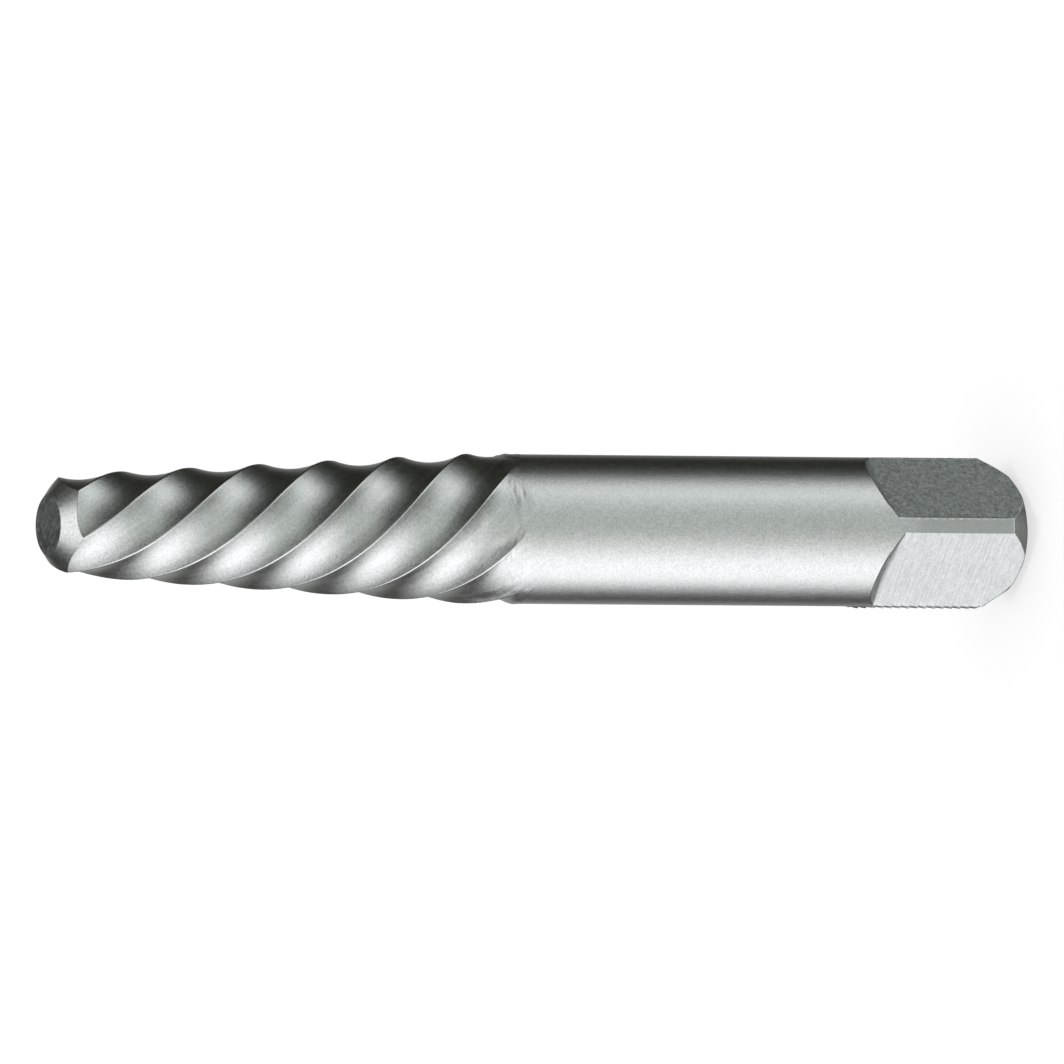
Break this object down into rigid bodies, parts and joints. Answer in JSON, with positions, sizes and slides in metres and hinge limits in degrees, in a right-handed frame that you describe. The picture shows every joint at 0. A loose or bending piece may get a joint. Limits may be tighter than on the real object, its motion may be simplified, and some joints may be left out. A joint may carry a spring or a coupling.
{
  "type": "screw extractor",
  "caption": "Tapered left-hand spiral screw extractor with a plain round shank and a milled square drive, in blasted steel.",
  "frame": {"origin": "centre of the flat end face of the square drive, on which the tool stands", "axes": "+Z along the tool's axis from the drive end to the tip; the flats of the square face +X, -X, +Y and -Y"},
  "size_m": [0.0116, 0.0116, 0.0825],
  "materials": {
    "steel": "bead-blasted satin, with milled flats"
  },
  "bodies": {
    "root": {"screw_extractor": "steel"}
  },
  "joints": []
}
